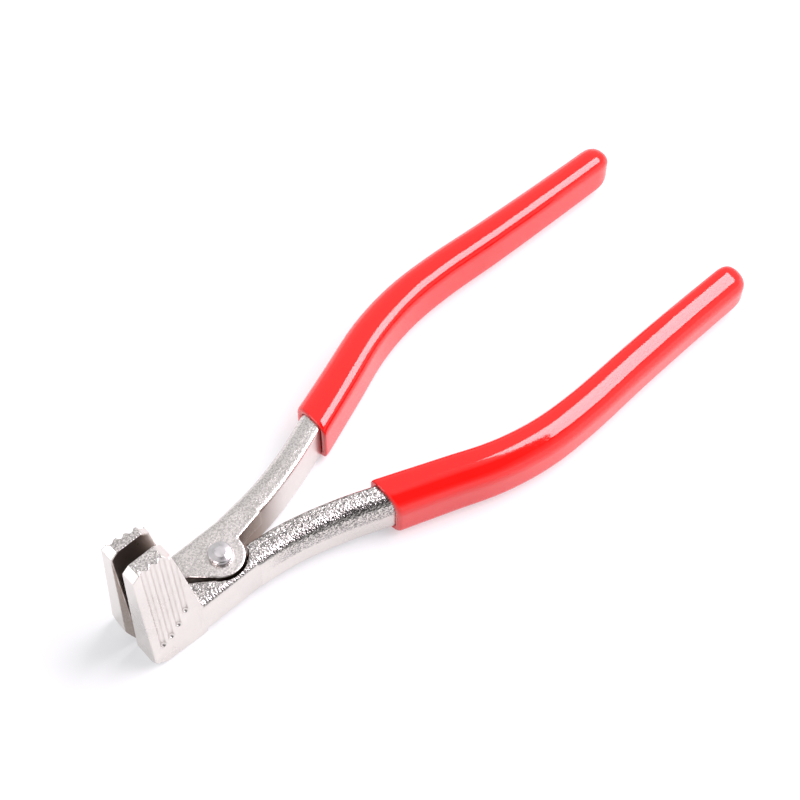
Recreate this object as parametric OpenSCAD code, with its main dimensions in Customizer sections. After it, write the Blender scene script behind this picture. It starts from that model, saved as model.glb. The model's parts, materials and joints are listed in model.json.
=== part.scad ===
// Hand-held spreading nippers: two cast levers that meet at a half-lap pivot, each with an
// upright grooved jaw in front of the pivot and a dipped grip behind it.
// +X runs from the jaws to the grips, +Z is up along the pivot, and the tool lies on Z = 0.

/* [Jaws] */
// Distance from the pivot axis to the jaws' front face
jaw_reach = 26.4; // [25.5:0.1:27]
// Height of the jaws above the surface the tool lies on
jaw_height = 47.5; // [45:0.5:49]
// Length of a jaw along X at its foot
jaw_foot_length = 15; // [14.5:0.5:15.5]
// Length of a jaw along X at its top, before the corners are cut
jaw_top_length = 10.7; // [9.5:0.1:12]
// Radius of the rounded heel at the foot of a jaw's front face
jaw_heel_radius = 1.2; // [0.8:0.1:2]
// Distance from the middle to the left jaw's outer face, at the front of its foot
left_jaw_outer = 7.5; // [7.3:0.1:7.8]
// The same distance on the right jaw, whose foot stands out further
right_jaw_outer = 10.2; // [9.6:0.1:10.4]
// Distance from the middle to a jaw's outer face at its top
jaw_top_outer = 5.7; // [5.4:0.1:6]
// Gap between the jaws at their feet
jaw_foot_gap = 1.2; // [1.1:0.1:1.6]
// How far the gap at the feet lies off the middle, towards the right jaw
gap_offset = 1.2; // [0.8:0.1:1.4]
// Gap between the jaws at their tops
jaw_top_gap = 3.8; // [3.4:0.1:4.2]
// Size of the cut corners at the top, front and back
jaw_corner = 1.9; // [1:0.1:2.6]
// Number of grooves down a jaw's outer face
groove_count = 4; // [2:1:5]
// Spacing of the grooves
groove_pitch = 2.5; // [2:0.1:2.8]
// Radius of a groove
groove_radius = 0.75; // [0.5:0.05:0.9]

/* [Lever] */
// Depth of the lever's body along Z
lever_depth = 13.4; // [12.5:0.1:14]
// Height of the lever's underside above the surface
lever_lift = 1.2; // [1:0.1:1.6]
// Half the width of the head beside the pivot
head_half_width = 7.9; // [7.8:0.1:8.6]
// Width of the arm where it leaves the head
arm_width = 6.6; // [6:0.1:7]
// Width of the arm at its end, inside the grip
arm_end_width = 4.9; // [4.8:0.1:5.1]
// Depth of the arm at its end, inside the grip
arm_end_depth = 10.5; // [9:0.1:11]

/* [Pivot] */
// Radius of the round boss on each half lap
boss_radius = 5.9; // [5.6:0.1:6.1]
// Gap between a boss and the shoulder that it turns beside
boss_gap = 0.8; // [0.6:0.05:0.9]
// Gap between the two half laps
lap_gap = 0.2; // [0.1:0.05:0.4]
// Radius of the rivet's shank
rivet_radius = 2.3; // [2:0.1:2.6]
// Radial clearance of the turning lever on the rivet
rivet_clearance = 0.05; // [0.02:0.01:0.1]
// Radius of the rivet's head
rivet_head_radius = 3.1; // [2.8:0.1:3.4]
// Height of the rivet's head
rivet_head_height = 1.8; // [1.4:0.1:2]

/* [Grips] */
// Distance from the pivot axis to the grip's mouth, where the dipped coat ends
grip_start = 39.3; // [38:0.1:39.9]
// Wall thickness of the dipped grip
grip_wall = 1.2; // [1:0.1:1.2]
// Width of the grip at its widest
grip_width = 10.3; // [9.6:0.1:10.8]
// Width of the grip near its end
grip_end_width = 8; // [7.9:0.1:8.6]
// Depth of the grip near its end
grip_end_depth = 13.4; // [13:0.1:14]

/* [Hidden] */
lever_top = lever_lift + lever_depth;
lap_level = lever_lift + lever_depth / 2;
jaw_back = jaw_foot_length - jaw_reach;
// Centre line of the right-hand arm and grip, seen from above, the pivot at [0, 0]
ARM_LINE = [
    [4, 4.8], [16, 6.3], [28, 9.5], [40, 13.9], [54, 19.1], [67, 23.9],
    [80, 26.5], [93, 26.9], [110, 26], [130, 25.3], [150, 24.9]
];
arm_spans = len(ARM_LINE) - 1;
arm_steps = 5;
corner_steps = 5;
heel_steps = 8;
tip_x = ARM_LINE[arm_spans][0];
grip_depth = lever_depth + 2 * grip_wall;
// The middle of the whole tool along X, measured from the pivot
middle_x = (tip_x - jaw_reach) / 2;
// Half-lap outlines: the diagonal edge between the boss and the jaw, and the neck behind it
web_front = -9.3;
web_boss = [-4.85, -3.53];
web_angle = 38;
// The head's outlines run this far into the jaw
jaw_join = 1;
neck_back = 14;
neck_inner = [[7.2, 1], [neck_back, 2.5]];
shoulder_nose = [8.3, 3.4];
head_edge_radius = 1.7;
// A jaw's outer face leans in towards the top, and meets the head's side at the back of the foot
function foot_outer(right) = right ? right_jaw_outer : left_jaw_outer;
function face_slope(right) = (head_half_width - foot_outer(right)) / jaw_foot_length;
function face_lean(right) = (foot_outer(right) - jaw_top_outer) / jaw_height;
// Where a jaw's inner face meets the ground
function foot_inner(right) = jaw_foot_gap / 2 + (right ? gap_offset : -gap_offset);
// Grooves: the first one's distance behind the front face, and where each ends above the ground
groove_first = 3.1;
groove_ends = [9.6, 11, 13.8, 18, 21.5];
// A groove's centre lies just outside the face, and the dimple at its end is a little deeper
groove_offset = 0.02;
dimple_extra = 0.15;
// The foot's outer edge is bevelled, and its front outer corner is cut off: along X, Y and Z
foot_bevel = 0.8;
corner_cut = [3.6, 3.1, 3.6];
// The right jaw's inner front edge is bevelled, from nothing at the top: along Y and X at the foot
edge_bevel = [3.2, 1.2];
// The bevel's cutter reaches this share past the ground
cutter_reach = 1.03;
// The jaw's blank is this much wider than the head, before its outer face is cut
jaw_overlap = 0.6;
far = 60;
$fn = 64;

// A point on a smooth curve through a, b, c and d, between b and c
function curve_point(a, b, c, d, t) =
    0.5 * (2 * b + (c - a) * t + (2 * a - 5 * b + 4 * c - d) * t * t
        + (3 * b - a - 3 * c + d) * t * t * t);
function line_end(i) = ARM_LINE[max(0, min(arm_spans, i))];
function line_at(s) =
    let (i = min(floor(s), arm_spans - 1))
    curve_point(line_end(i - 1), line_end(i), line_end(i + 1), line_end(i + 2), s - i);
function line_normal(s) =
    let (e = 0.02, d = line_at(min(s + e, arm_spans)) - line_at(max(s - e, 0)))
    [-d[1], d[0]] / norm(d);
// A rounded section: the outer side is +X, and the radii run from its upper corner inwards
function section(width, depth, radii) = [
    for (corner = [[1, 1, 0], [-1, 1, 90], [-1, -1, 180], [1, -1, 270]])
        let (r = radii[corner[2] / 90])
        for (k = [0:corner_steps])
            let (a = corner[2] + 90 * k / corner_steps)
            [corner[0] * (width / 2 - r) + r * cos(a), corner[1] * (depth / 2 - r) + r * sin(a)]
];
// One ring of a sweep: the section set across the arm's centre line
function ring(s, points) =
    let (p = line_at(s), n = line_normal(s))
    [for (q = points) [p[0] + n[0] * q[0], p[1] + n[1] * q[0], lap_level + q[1]]];
function join(lists) = [for (l = lists) for (p = l) p];
function band(first, second, n) = [
    for (k = [0:n - 1]) [first + k, first + (k + 1) % n, second + (k + 1) % n, second + k]
];
// How far along the grip the curve has run, 0 at the mouth and 1 at the end
grip_from = 2 + (grip_start - ARM_LINE[2][0]) / (ARM_LINE[3][0] - ARM_LINE[2][0]);
// The arm is a little shallower than the head, as a casting's step
arm_inset = 0.1;
// Corner radii of the arm: sharp on the inner side, and a full shoulder on the outer side
// that grows from the head towards the grip
arm_inner_radius = 0.8;
arm_outer_radius = 2.2;
arm_shoulder_radius = 3.8;
function shoulder_growth(s) = max(0, min(1, (s - 0.6) / 1.4));
function along(s) = max(0, (s - grip_from) / (arm_spans - grip_from));
function arm_section(s, grow = 0) = section(
    arm_width + (arm_end_width - arm_width) * along(s) + 2 * grow,
    lever_depth - arm_inset + (arm_end_depth - lever_depth) * along(s) + 2 * grow,
    [arm_outer_radius + (arm_shoulder_radius - arm_outer_radius) * shoulder_growth(s) + grow,
        arm_inner_radius + grow, arm_inner_radius + grow, arm_outer_radius + grow]);
// The grip's end is a round nose over its last stretch
nose_steps = 6;
nose_span = 0.32;
nose_smallest = 0.08;
function nose(k) = [
    arm_spans - nose_span * (1 - sin(90 * k / nose_steps)),
    max(nose_smallest, cos(90 * k / nose_steps))
];
grip_crown_radius = 5;
grip_inner_radius = 2.8;
grip_lower_radius = 3.5;
function grip_section(s, shrink = 1) = section(
    shrink * (grip_width + (grip_end_width - grip_width) * along(s)),
    shrink * (grip_depth + (grip_end_depth - grip_depth) * along(s)),
    shrink * [grip_crown_radius, grip_inner_radius, grip_inner_radius, grip_lower_radius]);

module sweep(rings) {
    n = len(rings[0]);
    count = len(rings);
    polyhedron(
        points = join(rings),
        faces = concat(
            [[for (k = [0:n - 1]) k]],
            join([for (i = [0:count - 2]) band((i + 1) * n, i * n, n)]),
            [[for (k = [n - 1:-1:0]) (count - 1) * n + k]]),
        convexity = 6);
}

arm_inner_end = 9.75;
module arm() {
    last = arm_inner_end * arm_steps;
    sweep([for (i = [1:last]) ring(i / arm_steps, arm_section(i / arm_steps))]);
}

// The frame of a jaw's outer face: X runs back along the face and Z runs up it
module on_outer_face(right) {
    translate([-jaw_reach, foot_outer(right), 0])
        rotate([atan(face_lean(right)), 0, atan(face_slope(right))])
            children();
}

// A solid corner: the hull of a few points
module hull_of(points, faces) {
    hull()
        polyhedron(points, faces);
}

module foot_corner(right) {
    corner = [-jaw_reach, foot_outer(right), 0];
    size = [corner_cut[0], -corner_cut[1], corner_cut[2]];
    points = [for (q = [[-1, -1, -1], [3, -1, -1], [-1, 3, -1], [-1, -1, 3]])
        [for (i = [0:2]) corner[i] + q[i] * size[i]]];
    hull_of(points, [[0, 1, 2], [0, 2, 3], [0, 3, 1], [1, 3, 2]]);
}

module inner_edge_bevel() {
    apex = [-jaw_reach, jaw_top_gap / 2, jaw_height];
    inner = foot_inner(true);
    edge = [-jaw_reach, inner + edge_bevel[0], 0];
    back = [edge_bevel[1] - jaw_reach, inner, 0];
    base = [edge + (edge - back) / 3, back + (back - edge) / 3, [edge[0] - 2, inner - 1, 0]];
    points = concat([apex], [for (b = base) apex + (b - apex) * cutter_reach]);
    hull_of(points, [[0, 1, 2], [0, 2, 3], [0, 3, 1], [1, 3, 2]]);
}

module jaw_side_outline() {
    top_back = jaw_top_length - jaw_reach;
    r = jaw_heel_radius;
    polygon([
        for (k = [0:heel_steps])
            let (a = 180 + 90 * k / heel_steps)
            [r * (1 + cos(a)) - jaw_reach, r * (1 + sin(a))],
        [jaw_back, 0], [jaw_back, lever_top],
        [top_back, jaw_height - jaw_corner], [top_back - jaw_corner, jaw_height],
        [jaw_corner - jaw_reach, jaw_height], [-jaw_reach, jaw_height - jaw_corner]
    ]);
}

module jaw_front_outline(right) {
    outside = max(head_half_width, foot_outer(right)) + jaw_overlap;
    polygon([
        [foot_inner(right), 0], [outside, 0],
        [outside, jaw_height], [jaw_top_gap / 2, jaw_height]
    ]);
}

module jaw(right) {
    difference() {
        intersection() {
            rotate([90, 0, 0])
                translate([0, 0, -far / 2])
                    linear_extrude(far)
                        jaw_side_outline();
            rotate([90, 0, 90])
                translate([0, 0, -far])
                    linear_extrude(far)
                        jaw_front_outline(right);
        }
        on_outer_face(right)
            translate([-far / 2, 0, -far / 2])
                cube([far, far, 2 * far]);
        on_outer_face(right)
            translate([-far / 2, -foot_bevel, 0])
                rotate([-45, 0, 0])
                    cube([far, far, far]);
        foot_corner(right);
        if (right)
            inner_edge_bevel();
        on_outer_face(right)
            for (i = [0:groove_count - 1])
                translate([groove_first + groove_pitch * i, groove_offset, groove_ends[i]]) {
                    cylinder(r = groove_radius, h = far, $fn = 32);
                    sphere(r = groove_radius + dimple_extra, $fn = 32);
                }
    }
}

// The head's cross-section, rounded along its outer edges
module head_section() {
    r = head_edge_radius;
    translate([-head_half_width, lever_lift])
        square([2 * head_half_width - r, lever_depth]);
    translate([-head_half_width, lever_lift + r])
        square([2 * head_half_width, lever_depth - 2 * r]);
    for (z = [lever_lift + r, lever_top - r])
        translate([head_half_width - r, z])
            circle(r);
}

module boss_outline(right) {
    circle(boss_radius);
    polygon(concat(
        [[jaw_back - jaw_join, foot_inner(right)], [web_front, jaw_foot_gap / 2], web_boss, [0, 0]],
        neck_inner,
        [[neck_back, head_half_width], [jaw_back - jaw_join, head_half_width]]));
}

module shoulder_outline(right) {
    clear = boss_radius + boss_gap;
    difference() {
        polygon([
            [jaw_back - jaw_join, foot_inner(right)], [web_front - jaw_join, jaw_foot_gap / 2],
            [-clear * cos(web_angle), clear * sin(web_angle)], [0, 0], shoulder_nose,
            [neck_back, shoulder_nose[1]], [neck_back, head_half_width],
            [jaw_back - jaw_join, head_half_width]
        ]);
        circle(clear);
    }
}

module head_layer(from, to) {
    intersection() {
        translate([0, 0, from])
            linear_extrude(to - from)
                children();
        rotate([90, 0, 90])
            translate([0, 0, -far])
                linear_extrude(2 * far)
                    head_section();
    }
}

// One lever on the +Y side; boss_on_top says which half of the lap carries the boss
module lever(boss_on_top, bore_radius) {
    low_end = lap_level - lap_gap / 2;
    high_start = lap_level + lap_gap / 2;
    difference() {
        union() {
            if (boss_on_top) {
                head_layer(high_start, lever_top) boss_outline(boss_on_top);
                head_layer(lever_lift, high_start) shoulder_outline(boss_on_top);
            } else {
                head_layer(lever_lift, low_end) boss_outline(boss_on_top);
                head_layer(low_end, lever_top) shoulder_outline(boss_on_top);
            }
            jaw(boss_on_top);
            arm();
        }
        cylinder(r = bore_radius, h = far);
    }
}

// The coat thins at its mouth
mouth_share = 0.97;
mouth_span = 0.05;
coat_gap = 0.04;
// Both grips are dipped together, so the mouth lies square to X and not square to the arm
mouth_blend = 0.6;
function grip_ring(s, points) =
    let (
        p = line_at(s),
        n = line_normal(s),
        t = min(1, (s - grip_from) / mouth_blend),
        a = [0, 1 / n[1]] * (1 - t) + n * t
    )
    [for (q = points) [p[0] + a[0] * q[0], p[1] + a[1] * q[0], lap_level + q[1]]];
module grip() {
    n = len(grip_section(grip_from));
    start = ceil(grip_from * arm_steps);
    body_end = floor((arm_spans - nose_span) * arm_steps);
    outer_at = concat(
        [[grip_from, mouth_share], [grip_from + mouth_span, 1]],
        [for (i = [start + 1:body_end]) [i / arm_steps, 1]],
        [for (k = [0:nose_steps]) nose(k)]);
    inner_at = concat(
        [grip_from],
        [for (i = [start + 1:arm_inner_end * arm_steps]) i / arm_steps],
        [arm_inner_end]);
    outer_rings = [for (o = outer_at) grip_ring(o[0], grip_section(o[0], o[1]))];
    inner_rings = [for (s = inner_at) grip_ring(s, arm_section(s, coat_gap))];
    outer_count = len(outer_rings);
    inner_count = len(inner_rings);
    inner_base = outer_count * n;
    polyhedron(
        points = join(concat(outer_rings, inner_rings)),
        faces = concat(
            join([for (i = [0:outer_count - 2]) band((i + 1) * n, i * n, n)]),
            [[for (k = [n - 1:-1:0]) (outer_count - 1) * n + k]],
            join([for (i = [0:inner_count - 2])
                band(inner_base + i * n, inner_base + (i + 1) * n, n)]),
            [[for (k = [0:n - 1]) inner_base + (inner_count - 1) * n + k]],
            band(0, inner_base, n)),
        convexity = 8);
}

// Everything is laid out from the pivot, then set about the middle of the tool
module placed() {
    translate([-middle_x, 0, 0])
        children();
}

module left_lever() {
    color("silver")
        placed()
            mirror([0, 1, 0])
                lever(false, rivet_radius);
}

module right_lever() {
    color("silver")
        placed()
            lever(true, rivet_radius + rivet_clearance);
}

// The rivet's profile: its tail's height and edge, its head's rim and shoulder, and the flat on top
tail_height = 1;
tail_edge = 0.6;
head_gap = 0.1;
rim_height = 0.5;
shoulder_height = 1.3;
shoulder_inset = 0.3;
flat_share = 0.68;
module rivet() {
    r = rivet_head_radius;
    color("gainsboro")
        placed()
            rotate_extrude()
                polygon([
                    [0, lever_lift - tail_height], [r - tail_edge, lever_lift - tail_height],
                    [r, lever_lift - head_gap], [r, lever_lift],
                    [rivet_radius, lever_lift], [rivet_radius, lever_top + head_gap],
                    [r, lever_top + head_gap], [r, lever_top + rim_height],
                    [r - shoulder_inset, lever_top + shoulder_height],
                    [r * flat_share, lever_top + rivet_head_height],
                    [0, lever_top + rivet_head_height]
                ]);
}

module left_grip() {
    color("red")
        placed()
            mirror([0, 1, 0])
                grip();
}

module right_grip() {
    color("red")
        placed()
            grip();
}

left_lever();
right_lever();
rivet();
left_grip();
right_grip();
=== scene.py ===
"""Spreading nippers: two plated castings on a rivet, with dipped red grips, on a white sweep."""

import json
import math

import bmesh
import bpy
import numpy as np
from mathutils import Matrix, Vector, noise


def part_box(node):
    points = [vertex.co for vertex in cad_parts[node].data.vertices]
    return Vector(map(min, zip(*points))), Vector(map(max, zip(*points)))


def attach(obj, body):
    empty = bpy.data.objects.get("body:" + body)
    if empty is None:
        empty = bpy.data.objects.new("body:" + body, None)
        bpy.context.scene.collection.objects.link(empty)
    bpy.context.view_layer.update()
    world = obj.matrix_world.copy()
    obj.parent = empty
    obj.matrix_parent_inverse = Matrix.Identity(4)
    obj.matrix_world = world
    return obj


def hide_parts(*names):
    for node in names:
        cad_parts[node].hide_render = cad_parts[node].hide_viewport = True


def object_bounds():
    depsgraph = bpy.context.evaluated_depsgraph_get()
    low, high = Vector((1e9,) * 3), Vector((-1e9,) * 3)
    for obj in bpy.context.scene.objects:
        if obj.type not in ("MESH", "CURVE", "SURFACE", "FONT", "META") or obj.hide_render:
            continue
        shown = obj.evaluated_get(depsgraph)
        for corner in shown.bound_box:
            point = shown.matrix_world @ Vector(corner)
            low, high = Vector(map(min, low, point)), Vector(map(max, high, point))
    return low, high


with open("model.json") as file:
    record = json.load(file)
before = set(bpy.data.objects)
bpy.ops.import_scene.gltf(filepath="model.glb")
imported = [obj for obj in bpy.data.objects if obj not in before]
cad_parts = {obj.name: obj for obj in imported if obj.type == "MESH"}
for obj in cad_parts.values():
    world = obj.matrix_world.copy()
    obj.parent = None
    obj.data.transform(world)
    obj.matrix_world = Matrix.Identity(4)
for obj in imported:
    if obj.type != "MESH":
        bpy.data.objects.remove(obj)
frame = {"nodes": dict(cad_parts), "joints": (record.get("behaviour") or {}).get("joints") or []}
cad_low, cad_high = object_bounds()

MM = 0.001

# Places in the frame. The jaws stand at the tool's -X end and the grips run to its +X end.
PIVOT = Vector(frame["joints"][0]["pos_m"])
LEVER_LOW, LEVER_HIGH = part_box("right_lever")
RIVET_LOW, RIVET_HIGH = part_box("rivet")
JAW_FRONT = LEVER_LOW.x
JAW_TOP = LEVER_HIGH.z

# Where the camera stands round its target, in degrees and metres, and its lens in millimetres
AZIMUTH, ELEVATION, DISTANCE = -131.53, 61.03, 0.5386
TARGET_FROM_PIVOT = Vector((0.06446, 0.00923, 0))
SENSOR_WIDTH, FOCAL_LENGTH = 36, 96.1

# How far the lights stand from the tool, which way the studio's dark opening lies, and the span
# of the cosine between that way and another over which the studio turns from white to dark
LIGHT_DISTANCE = 1.2
DARK_OPENING = Vector((-0.12, -0.60, 0.79))
OPENING_EDGE = (0.70, 0.92)
WORLD_WHITE, WORLD_DARK = (0.88, 0.88, 0.90), (0.10, 0.10, 0.10)
FLOOR_COLOUR, FLOOR_GLOW = (0.46, 0.465, 0.455), (0.96, 0.955, 1.0)

# Each material's colour wanders between two tones.
PLATE_TONES = (0.69, 0.65, 0.62), (0.76, 0.72, 0.69)
STEEL_TONES = (0.54, 0.52, 0.52), (0.62, 0.60, 0.60)
VINYL_TONES = (0.72, 0.004, 0.003), (0.77, 0.007, 0.005)
PIT_COLOUR = (0.03, 0.03, 0.03)
# Brown painted shade for the inner faces that stand close together
PAINTED_SHADE_COLOUR = (0.21, 0.13, 0.085)
# The part of its range that a noise mostly keeps to
NOISE_SPAN = (0.3, 0.7)

CASTING_VOXEL = 0.25 * MM
GRIP_VOXEL = 0.4 * MM
# The relief that moves their vertices, and how fine it is
SAND_HEIGHT, SAND_SCALE = 0.015 * MM, 420
SWELL_HEIGHT, SWELL_SCALE = 0.06 * MM, 60
# The skin stays flat where it is less sandy than this.
FLAT_BELOW = 0.15
# Ground faces keep a trace of sand. The left arm is the rougher casting.
GROUND_SAND = 0.06
ARM_GRAIN = {"left_half": 1.0, "right_half": 0.42}
JAW_GRAIN = 0.6
# How strongly brown shade is painted between the jaws, in the crotch, and on the bevelled edge at
# its foot, where the painted shade gets stronger with every metre of height
JAW_PAINTED_SHADE, CROTCH_PAINTED_SHADE = 0.5, 0.95
BEVEL_PAINTED_SHADE, BEVEL_PAINTED_SHADE_RISE = 0.72, 7

# Spans over which a mark on a casting comes or goes, along X
FRONT_EDGE = (JAW_FRONT + 1.3 * MM, JAW_FRONT + 1.6 * MM)
JAW_FOOT_END = (JAW_FRONT + 16 * MM, JAW_FRONT + 18 * MM)
JAW_END = (PIVOT.x - 12 * MM, PIVOT.x - 10 * MM)
# Where the painted shade between the jaws fades out
JAW_PAINTED_SHADE_END = (PIVOT.x - 10 * MM, PIVOT.x - 8 * MM)
CROTCH_START = (PIVOT.x - 8 * MM, PIVOT.x - 6 * MM)
CROTCH_END = (PIVOT.x + 10 * MM, PIVOT.x + 25 * MM)
ARM_START = (PIVOT.x + 6 * MM, PIVOT.x + 16 * MM)
# The same, in height
UNDERSIDE = (0.5 * MM, 2 * MM)
SHOULDER = (8.3 * MM, 9.8 * MM)
BEVEL_TOP = (JAW_TOP - 5 * MM, JAW_TOP - 2.5 * MM)
CUT_CORNERS = (JAW_TOP - 3.5 * MM, JAW_TOP - 2.6 * MM)
# The same, by how squarely the surface faces a direction, from 0 to 1
LEVEL_FACE = (0.45, 0.85)
OUTER_FACE = (0.0, 0.3)
INNER_FACE = (0.6, 0.9)
CORNER_FACE = (0.25, 0.5)
FRONT_FACE = (0.3, 0.6)
BEVEL_LEAN_LEAST, BEVEL_LEAN_MOST = (0.12, 0.24), (0.7, 0.85)

# The rivet's outline, bottom to top. A point is a share of the head's radius, and the millimetres
# above the tail's foot or below the crown.
TAIL = [(0.55, 0), (0.74, 0.12), (0.94, 0.65), (1, 0.92), (1, 1)]
SHANK_RADIUS = 2.3 * MM
HEAD = [
    (0.985, 1.7), (1, 1.55), (1, 1.15), (0.985, 0.92), (0.95, 0.66), (0.90, 0.46),
    (0.84, 0.345), (0.81, 0.32), (0.51, 0.06), (0.48, 0.02), (0.46, 0), (0.43, 0),
]
SEGMENTS = 72


# ---------------------------------------------------------------- camera, lights and floor

def make_camera():
    """The camera looks down on the tool from the left of the jaws, as a product shot does."""
    target = TARGET_FROM_PIVOT + Vector((PIVOT.x, 0, 0))
    flat = math.cos(math.radians(ELEVATION))
    away = Vector((
        flat * math.cos(math.radians(AZIMUTH)),
        flat * math.sin(math.radians(AZIMUTH)),
        math.sin(math.radians(ELEVATION)),
    ))
    data = bpy.data.cameras.new("camera")
    data.sensor_width = SENSOR_WIDTH
    data.lens = FOCAL_LENGTH
    data.clip_start = 0.01
    camera = bpy.data.objects.new("camera", data)
    camera.location = target + away * DISTANCE
    camera.rotation_euler = (-away).to_track_quat("-Z", "Y").to_euler()
    bpy.context.scene.collection.objects.link(camera)
    bpy.context.scene.camera = camera


def add_light(name, direction, size, power, colour=(1, 1, 1)):
    """A soft box facing the tool, with its long edges kept along the tool's own axes."""
    outward = Vector(direction).normalized()
    along = (Vector((1, 0, 0)) - outward * outward.x).normalized()
    across = outward.cross(along)
    data = bpy.data.lights.new(name, "AREA")
    data.shape = "RECTANGLE"
    data.size, data.size_y = size
    data.energy = power
    data.color = colour
    light = bpy.data.objects.new(name, data)
    light.matrix_world = Matrix((
        (along.x, across.x, outward.x, outward.x * LIGHT_DISTANCE),
        (along.y, across.y, outward.y, outward.y * LIGHT_DISTANCE),
        (along.z, across.z, outward.z, outward.z * LIGHT_DISTANCE),
        (0, 0, 0, 1),
    ))
    bpy.context.scene.collection.objects.link(light)


def make_lights():
    """A large key over the grips' ends, and a small one that catches the jaws' cut corners."""
    add_light("key_box", (0.56, -0.27, 0.82), size=(0.62, 1.15), power=24, colour=(1.0, 0.92, 1.0))
    add_light("corner_box", (-0.95, 0.45, 0.40), size=(0.4, 0.5), power=2)


def make_world():
    """A white studio, with a dark opening above the tool on the camera's side."""
    world = bpy.data.worlds.new("studio")
    world.use_nodes = True
    nodes, links = world.node_tree.nodes, world.node_tree.links
    coordinates = nodes.new("ShaderNodeTexCoord")
    facing = nodes.new("ShaderNodeVectorMath")
    facing.operation = "DOT_PRODUCT"
    facing.inputs[1].default_value = DARK_OPENING.normalized()
    ramp = nodes.new("ShaderNodeValToRGB")
    ramp.color_ramp.elements[0].position = OPENING_EDGE[0]
    ramp.color_ramp.elements[0].color = (*WORLD_WHITE, 1)
    ramp.color_ramp.elements[1].position = OPENING_EDGE[1]
    ramp.color_ramp.elements[1].color = (*WORLD_DARK, 1)
    links.new(coordinates.outputs["Generated"], facing.inputs[0])
    links.new(facing.outputs["Value"], ramp.inputs[0])
    links.new(ramp.outputs[0], nodes["Background"].inputs["Color"])
    bpy.context.scene.world = world


def make_floor():
    """A white sweep that glows a little, so that it stays white under the tool's soft shadow."""
    bpy.ops.mesh.primitive_plane_add(size=8, location=(0, 0, 0))
    floor = bpy.context.object
    floor.name = "floor"
    material, tree, shader = new_material("white_sweep")
    feed(tree, shader.inputs["Base Color"], FLOOR_COLOUR)
    feed(tree, shader.inputs["Emission Color"], FLOOR_GLOW)
    feed(tree, shader.inputs["Emission Strength"], 0.47)
    feed(tree, shader.inputs["Roughness"], 0.6)
    feed(tree, shader.inputs["Specular IOR Level"], 0.1)
    floor.data.materials.append(material)


# ---------------------------------------------------------------- materials

def new_material(name):
    """A new material, with its node tree and its shader."""
    material = bpy.data.materials.new(name)
    material.use_nodes = True
    return material, material.node_tree, material.node_tree.nodes["Principled BSDF"]


def feed(tree, socket, value):
    """Links another node's output to a socket, or sets the socket to a colour or a number."""
    if isinstance(value, bpy.types.NodeSocket):
        tree.links.new(value, socket)
    elif isinstance(value, tuple):
        socket.default_value = (*value, 1)
    else:
        socket.default_value = value


def add_place(tree):
    """The place on the piece, in metres, which every texture here is laid out by."""
    return tree.nodes.new("ShaderNodeTexCoord").outputs["Object"]


def add_mark(tree, name):
    """A mark painted on the vertices, from 0 to 1."""
    attribute = tree.nodes.new("ShaderNodeAttribute")
    attribute.attribute_name = name
    return attribute.outputs["Fac"]


def add_noise(tree, place, scale, roughness, detail=2.0):
    texture = tree.nodes.new("ShaderNodeTexNoise")
    texture.inputs["Scale"].default_value = scale
    texture.inputs["Detail"].default_value = detail
    texture.inputs["Roughness"].default_value = roughness
    tree.links.new(place, texture.inputs["Vector"])
    return texture.outputs["Fac"]


def add_cells(tree, place, scale):
    texture = tree.nodes.new("ShaderNodeTexVoronoi")
    texture.inputs["Scale"].default_value = scale
    tree.links.new(place, texture.inputs["Vector"])
    return texture.outputs["Distance"]


def add_range(tree, source, span, result=(0.0, 1.0)):
    """Maps a span of the source to a span of the result."""
    node = tree.nodes.new("ShaderNodeMapRange")
    node.inputs["From Min"].default_value, node.inputs["From Max"].default_value = span
    node.inputs["To Min"].default_value, node.inputs["To Max"].default_value = result
    tree.links.new(source, node.inputs["Value"])
    return node.outputs["Result"]


def add_math(tree, operation, first, second):
    node = tree.nodes.new("ShaderNodeMath")
    node.operation = operation
    feed(tree, node.inputs[0], first)
    feed(tree, node.inputs[1], second)
    return node.outputs[0]


def add_mix(tree, factor, first, second):
    """The first colour where the factor is 0, and the second where it is 1."""
    node = tree.nodes.new("ShaderNodeMix")
    node.data_type = "RGBA"
    feed(tree, node.inputs["Factor"], factor)
    feed(tree, node.inputs["A"], first)
    feed(tree, node.inputs["B"], second)
    return node.outputs["Result"]


def add_bump(tree, height, strength, distance, normal=None):
    node = tree.nodes.new("ShaderNodeBump")
    feed(tree, node.inputs["Height"], height)
    feed(tree, node.inputs["Strength"], strength)
    feed(tree, node.inputs["Distance"], distance)
    if normal is not None:
        feed(tree, node.inputs["Normal"], normal)
    return node.outputs["Normal"]


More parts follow.
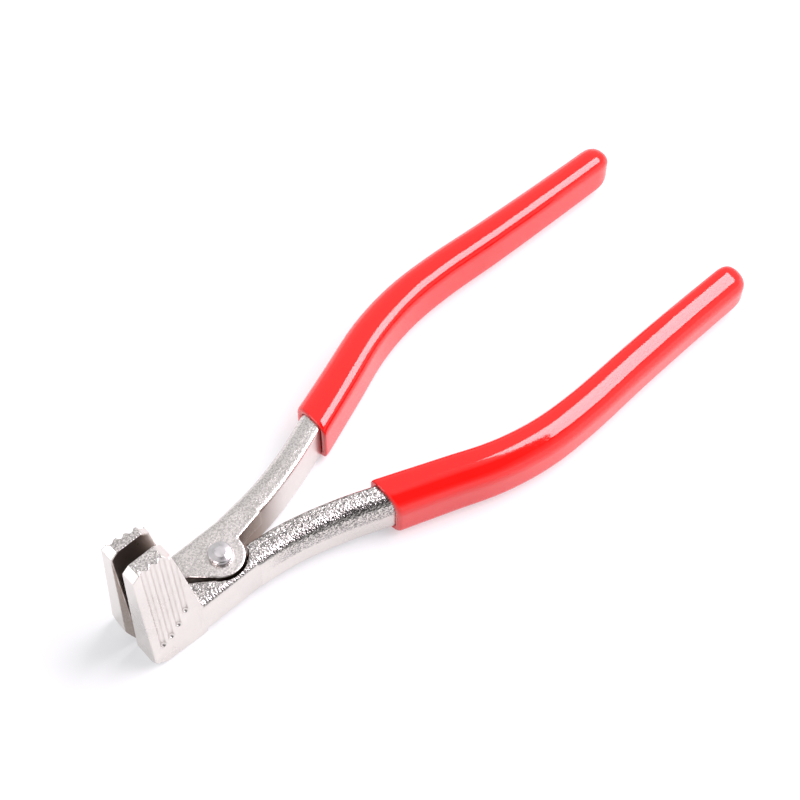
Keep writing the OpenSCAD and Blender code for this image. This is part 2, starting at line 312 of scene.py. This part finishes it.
def casting_material():
    """Nickel plate over a sandy casting skin: sparkling where sandy, satin where ground."""
    material, tree, shader = new_material("nickel_plated_casting")
    place = add_place(tree)
    sandy = add_mark(tree, "sandy")
    painted_shade = add_mark(tree, "painted_shade")
    grains = add_cells(tree, place, scale=1900)
    crumbs = add_noise(tree, place, scale=2300, roughness=0.6)
    patches = add_noise(tree, place, scale=90, roughness=0.5, detail=3.0)
    brushing = add_noise(tree, place, scale=3200, roughness=0.7)
    feed(tree, shader.inputs["Metallic"], 1.0)

    # Colour: the plate, with dark pits where it is sandy and brown painted shade where faces stand
    # close together
    plate = add_mix(tree, add_range(tree, patches, NOISE_SPAN), *PLATE_TONES)
    pits = add_range(tree, crumbs, (0.40, 0.60), (0.0, 0.78))
    pits = add_math(tree, "MULTIPLY", pits, sandy)
    plate = add_mix(tree, pits, plate, PIT_COLOUR)
    feed(tree, shader.inputs["Base Color"], add_mix(tree, painted_shade, plate, PAINTED_SHADE_COLOUR))

    # Gloss: satin in patches, and a little glossier on the sand, which makes it sparkle
    satin = add_range(tree, patches, NOISE_SPAN, (0.26, 0.33))
    sparkle = add_math(tree, "MULTIPLY", sandy, -0.10)
    feed(tree, shader.inputs["Roughness"], add_math(tree, "ADD", satin, sparkle))

    # Relief: fine brush marks all over, and grains of sand over them
    relief = add_math(tree, "ADD", crumbs, add_math(tree, "MULTIPLY", grains, -0.8))
    fine = add_bump(tree, brushing, strength=0.10, distance=0.02 * MM)
    coarse = add_bump(tree, relief, strength=sandy, distance=0.09 * MM, normal=fine)
    feed(tree, shader.inputs["Normal"], coarse)
    return material


def rivet_material():
    """Bright formed steel with a few faint hammer marks."""
    material, tree, shader = new_material("rivet_steel")
    place = add_place(tree)
    marks = add_noise(tree, place, scale=700, roughness=0.5)
    scuffs = add_noise(tree, place, scale=2600, roughness=0.6)
    feed(tree, shader.inputs["Metallic"], 1.0)
    tone = add_mix(tree, add_range(tree, marks, NOISE_SPAN), *STEEL_TONES)
    feed(tree, shader.inputs["Base Color"], tone)
    feed(tree, shader.inputs["Roughness"], add_range(tree, marks, NOISE_SPAN, (0.24, 0.36)))
    coarse = add_bump(tree, marks, strength=0.5, distance=0.06 * MM)
    fine = add_bump(tree, scuffs, strength=0.2, distance=0.03 * MM, normal=coarse)
    feed(tree, shader.inputs["Normal"], fine)
    return material


def vinyl_material():
    """Dipped vinyl: saturated red, glossy, with a faint orange-peel surface."""
    material, tree, shader = new_material("dipped_red_vinyl")
    place = add_place(tree)
    cloud = add_noise(tree, place, scale=35, roughness=0.5)
    peel = add_noise(tree, place, scale=260, roughness=0.5)
    specks = add_noise(tree, place, scale=2400, roughness=0.6)
    tone = add_mix(tree, add_range(tree, cloud, NOISE_SPAN), *VINYL_TONES)
    feed(tree, shader.inputs["Base Color"], tone)
    feed(tree, shader.inputs["Roughness"], add_range(tree, cloud, NOISE_SPAN, (0.06, 0.09)))
    feed(tree, shader.inputs["IOR"], 1.55)
    coarse = add_bump(tree, peel, strength=0.08, distance=0.1 * MM)
    fine = add_bump(tree, specks, strength=0.03, distance=0.02 * MM, normal=coarse)
    feed(tree, shader.inputs["Normal"], fine)
    return material


# ---------------------------------------------------------------- mesh helpers

def copy_of_node(node, name):
    """A new object with a copy of the node's mesh, which lies where the node lies."""
    mesh = frame["nodes"][node].data.copy()
    mesh.materials.clear()
    piece = bpy.data.objects.new(name, mesh)
    bpy.context.scene.collection.objects.link(piece)
    return piece


def weld(piece):
    """Joins the triangles' corners where they meet."""
    shape = bmesh.new()
    shape.from_mesh(piece.data)
    bmesh.ops.remove_doubles(shape, verts=shape.verts, dist=0.002 * MM)
    shape.to_mesh(piece.data)
    shape.free()


def remesh(piece, voxel, smoothing):
    """Rounds every edge a little, as a casting or a dipped coat has it."""
    skin = piece.modifiers.new("skin", "REMESH")
    skin.mode = "VOXEL"
    skin.voxel_size = voxel
    relax = piece.modifiers.new("relax", "SMOOTH")
    relax.factor = 0.5
    relax.iterations = smoothing
    bpy.context.view_layer.update()
    depsgraph = bpy.context.evaluated_depsgraph_get()
    mesh = bpy.data.meshes.new_from_object(piece.evaluated_get(depsgraph))
    piece.modifiers.clear()
    piece.data = mesh


def vertex_arrays(mesh):
    """Every vertex's place and normal, one row each."""
    places = np.empty(len(mesh.vertices) * 3, np.float32)
    normals = np.empty(len(mesh.vertices) * 3, np.float32)
    mesh.vertices.foreach_get("co", places)
    mesh.vertices.foreach_get("normal", normals)
    return places.reshape(-1, 3).astype(float), normals.reshape(-1, 3).astype(float)


def inside_cad(places):
    """The places, with any past the CAD model's box moved onto it."""
    return np.clip(places, np.array(cad_low), np.array(cad_high))


def set_places(mesh, places):
    mesh.vertices.foreach_set("co", places.astype(np.float32).ravel())
    mesh.update()


def paint(mesh, name, values):
    """Stores one number for each vertex, for a material to read."""
    attribute = mesh.attributes.new(name, "FLOAT", "POINT")
    attribute.data.foreach_set("value", values.astype(np.float32))


def shade_smooth(piece):
    piece.data.polygons.foreach_set("use_smooth", [True] * len(piece.data.polygons))


def rising(value, low, high):
    """0 below the span, 1 above it, and a smooth step between."""
    share = np.clip((value - low) / (high - low), 0, 1)
    return share * share * (3 - 2 * share)


def falling(value, low, high):
    return 1 - rising(value, low, high)


# ---------------------------------------------------------------- castings

def rough_edge(places, normals, side):
    """1 on the right jaw's bevelled inner front edge, which is left as it was cast."""
    if side < 0:
        return np.zeros(len(places))
    inward = -normals[:, 1]
    lean = rising(inward, *BEVEL_LEAN_LEAST) * falling(inward, *BEVEL_LEAN_MOST)
    at_front = falling(places[:, 0], *FRONT_EDGE) * rising(-normals[:, 0], *FRONT_FACE)
    return lean * at_front * falling(places[:, 2], *BEVEL_TOP)


def sandy_share(places, normals, side):
    """1 on the sandy skin above and below and on the arm's outer shoulder, little elsewhere."""
    level = rising(np.abs(normals[:, 2]), *LEVEL_FACE)
    outer = rising(places[:, 0], *ARM_START) * rising(normals[:, 1] * side, *OUTER_FACE)
    shoulder = rising(places[:, 2], *SHOULDER) * outer
    share = GROUND_SAND + (1 - GROUND_SAND) * np.maximum(level, shoulder)
    corner = rising(places[:, 2], *CUT_CORNERS) * rising(np.abs(normals[:, 0]), *CORNER_FACE)
    foot = falling(places[:, 0], *JAW_FOOT_END) * falling(places[:, 2], *UNDERSIDE)
    share = share * (1 - corner) * (1 - foot)
    return np.maximum(share, rough_edge(places, normals, side))


def painted_shade_share(places, normals, side):
    """Brown painted shade where two faces stand close together: between the jaws and in the
    crotch.
    """
    inward = rising(-normals[:, 1] * side, *INNER_FACE)
    between_jaws = falling(places[:, 0], *JAW_PAINTED_SHADE_END)
    crotch = rising(places[:, 0], *CROTCH_START) * falling(places[:, 0], *CROTCH_END)
    share = inward * np.maximum(JAW_PAINTED_SHADE * between_jaws, CROTCH_PAINTED_SHADE * crotch)
    # On the bevelled edge the painted shade darkens with height
    bevel = BEVEL_PAINTED_SHADE + BEVEL_PAINTED_SHADE_RISE * places[:, 2]
    return np.maximum(share, rough_edge(places, normals, side) * bevel)


def make_casting(node, name, body, material):
    """A casting: the node's own shape with its edges eased, and fine sand on its rough faces."""
    piece = copy_of_node(node, name)
    weld(piece)
    remesh(piece, CASTING_VOXEL, smoothing=2)
    places, normals = vertex_arrays(piece.data)
    side = 1 if body == "right_half" else -1
    sandy = sandy_share(places, normals, side)
    heights = np.array([
        SAND_HEIGHT * noise.noise(Vector(place) * SAND_SCALE) if share > FLAT_BELOW else 0.0
        for place, share in zip(places, sandy)
    ])
    places = inside_cad(places + normals * (heights * sandy)[:, None])
    set_places(piece.data, places)
    on_jaw = falling(places[:, 0], *JAW_END)
    paint(piece.data, "sandy", sandy * (ARM_GRAIN[body] * (1 - on_jaw) + JAW_GRAIN * on_jaw))
    # Brown painted shade between the jaws, in the crotch and on the bevelled edge
    paint(piece.data, "painted_shade", painted_shade_share(places, normals, side))
    shade_smooth(piece)
    piece.data.materials.append(material)
    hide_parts(node)
    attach(piece, body)


# ---------------------------------------------------------------- grips

def make_grip(node, name, body, material, seed):
    """A dipped coat: the node's own tube, softened, with the slow swells that dipping leaves."""
    piece = copy_of_node(node, name)
    weld(piece)
    remesh(piece, GRIP_VOXEL, smoothing=6)
    places, normals = vertex_arrays(piece.data)
    offset = Vector((seed, 2 * seed, 0))
    swells = np.array([noise.noise(Vector(place) * SWELL_SCALE + offset) for place in places])
    set_places(piece.data, inside_cad(places + normals * (swells * SWELL_HEIGHT)[:, None]))
    shade_smooth(piece)
    piece.data.materials.append(material)
    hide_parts(node)
    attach(piece, body)


# ---------------------------------------------------------------- rivet

def rivet_outline():
    """The outline as (radius, height), from the foot's centre up to the crown's."""
    top, foot = RIVET_HIGH.z, RIVET_LOW.z
    radius = (RIVET_HIGH.x - RIVET_LOW.x) / 2
    tail = [(radius * share, foot + rise * MM) for share, rise in TAIL]
    head = [(radius * share, top - drop * MM) for share, drop in HEAD]
    shank = [(SHANK_RADIUS, tail[-1][1]), (SHANK_RADIUS, head[0][1])]
    return [(0.0, foot), *tail, *shank, *head, (0.0, top)]


def ring_at_pivot(shape, radius, height):
    """A ring of vertices round the pivot, or the one vertex on its axis."""
    if radius == 0.0:
        return [shape.verts.new((PIVOT.x, PIVOT.y, height))]
    angles = [2 * math.pi * k / SEGMENTS for k in range(SEGMENTS)]
    return [
        shape.verts.new((
            PIVOT.x + radius * math.cos(angle), PIVOT.y + radius * math.sin(angle), height,
        ))
        for angle in angles
    ]


def make_rivet(material):
    """The rivet, turned from its outline: a button head with a flat crown, and a low tail."""
    shape = bmesh.new()
    rings = [ring_at_pivot(shape, radius, height) for radius, height in rivet_outline()]
    for low_ring, high_ring in zip(rings, rings[1:]):
        for a in range(SEGMENTS):
            b = (a + 1) % SEGMENTS
            if len(low_ring) == 1:
                shape.faces.new((low_ring[0], high_ring[b], high_ring[a]))
            elif len(high_ring) == 1:
                shape.faces.new((low_ring[a], low_ring[b], high_ring[0]))
            else:
                shape.faces.new((low_ring[a], low_ring[b], high_ring[b], high_ring[a]))
    mesh = bpy.data.meshes.new("turned_rivet")
    shape.to_mesh(mesh)
    shape.free()
    piece = bpy.data.objects.new("turned_rivet", mesh)
    bpy.context.scene.collection.objects.link(piece)
    shade_smooth(piece)
    mesh.materials.append(material)
    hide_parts("rivet")
    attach(piece, "left_half")


# ---------------------------------------------------------------- the scene

make_camera()
make_world()
make_lights()
make_floor()
casting = casting_material()
vinyl = vinyl_material()
make_casting("left_lever", "left_casting", "left_half", casting)
make_casting("right_lever", "right_casting", "right_half", casting)
make_rivet(rivet_material())
make_grip("left_grip", "left_dipped_grip", "left_half", vinyl, seed=3)
make_grip("right_grip", "right_dipped_grip", "right_half", vinyl, seed=8)

view = bpy.context.scene.view_settings
view.view_transform = "Standard"
view.look = "None"
